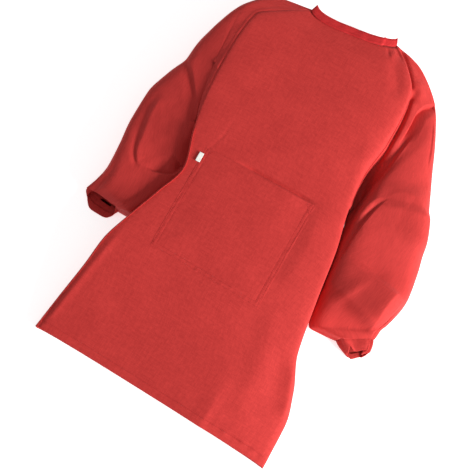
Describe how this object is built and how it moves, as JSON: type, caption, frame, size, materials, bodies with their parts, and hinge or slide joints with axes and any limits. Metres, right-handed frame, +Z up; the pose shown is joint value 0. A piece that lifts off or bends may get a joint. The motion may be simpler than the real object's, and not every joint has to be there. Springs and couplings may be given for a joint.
{
  "type": "painting smock",
  "caption": "Child's long-sleeved painting smock lying on its back, with raglan sleeves, gathered cuffs, a neck band, a large patch pocket and an open hem.",
  "frame": {"origin": "on the floor, under the middle of the smock's bounding box", "axes": "+Z up, out of the smock's front; +Y from the hem to the neck; +X towards the wearer's left sleeve"},
  "size_m": [0.4338, 0.5908, 0.0653],
  "materials": {
    "cloth_red": "matte woven cloth",
    "band_red": "matte folded cloth",
    "tag_white": "woven tape",
    "tape_red": "napped tape"
  },
  "bodies": {
    "root": {"front_panel": "cloth_red", "back_panel_left": "cloth_red", "back_panel_right": "cloth_red", "sleeve_left": "cloth_red", "sleeve_right": "cloth_red", "cuff_left": "cloth_red", "cuff_right": "cloth_red", "neck_band": "band_red", "pocket": "cloth_red", "label_tag": "tag_white", "back_closure": "tape_red"}
  },
  "joints": []
}
